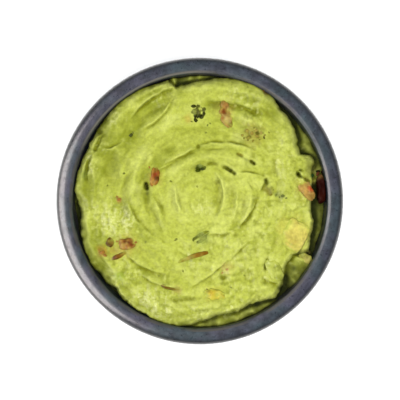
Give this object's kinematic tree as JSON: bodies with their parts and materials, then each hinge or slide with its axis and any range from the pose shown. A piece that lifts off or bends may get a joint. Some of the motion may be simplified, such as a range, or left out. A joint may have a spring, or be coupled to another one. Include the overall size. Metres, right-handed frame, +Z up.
{
  "type": "bowl of guacamole",
  "caption": "Round stoneware dip bowl filled above its rim with spoon-swirled guacamole, dotted with diced tomato, pepper, avocado, onion and leaf.",
  "frame": {"origin": "middle of the bounding box at its lowest plane, which is the middle of the bowl's foot ring on the surface it stands on", "axes": "+Z up out of the bowl, +X and +Y level, with the deep gap between dip and wall on the +X side"},
  "size_m": [0.12, 0.12, 0.0519],
  "materials": {
    "stoneware": "semi-matt dark blue-grey glaze, mottled",
    "guacamole": "moist, soft, grainy in places",
    "tomato": "wet",
    "tomato_skin": "wet, dark",
    "pepper": "wet",
    "avocado": "moist, soft",
    "onion": "wet, half clear",
    "leaf": "wet leaf"
  },
  "bodies": {
    "root": {"bowl": "stoneware", "guacamole": "guacamole", "tomato_left": "tomato", "tomato_top": "tomato", "tomato_right": "tomato", "tomato_dice_a": "tomato", "tomato_dice_b": "tomato", "tomato_dice_c": "tomato", "tomato_skin": "tomato_skin", "pepper_strip": "pepper", "pepper_shred": "pepper", "avocado_chunk": "avocado", "avocado_bit": "avocado", "avocado_edge": "avocado", "onion_chunk": "onion", "leaf_top": "leaf", "leaf_centre": "leaf", "leaf_mid": "leaf"}
  },
  "joints": []
}
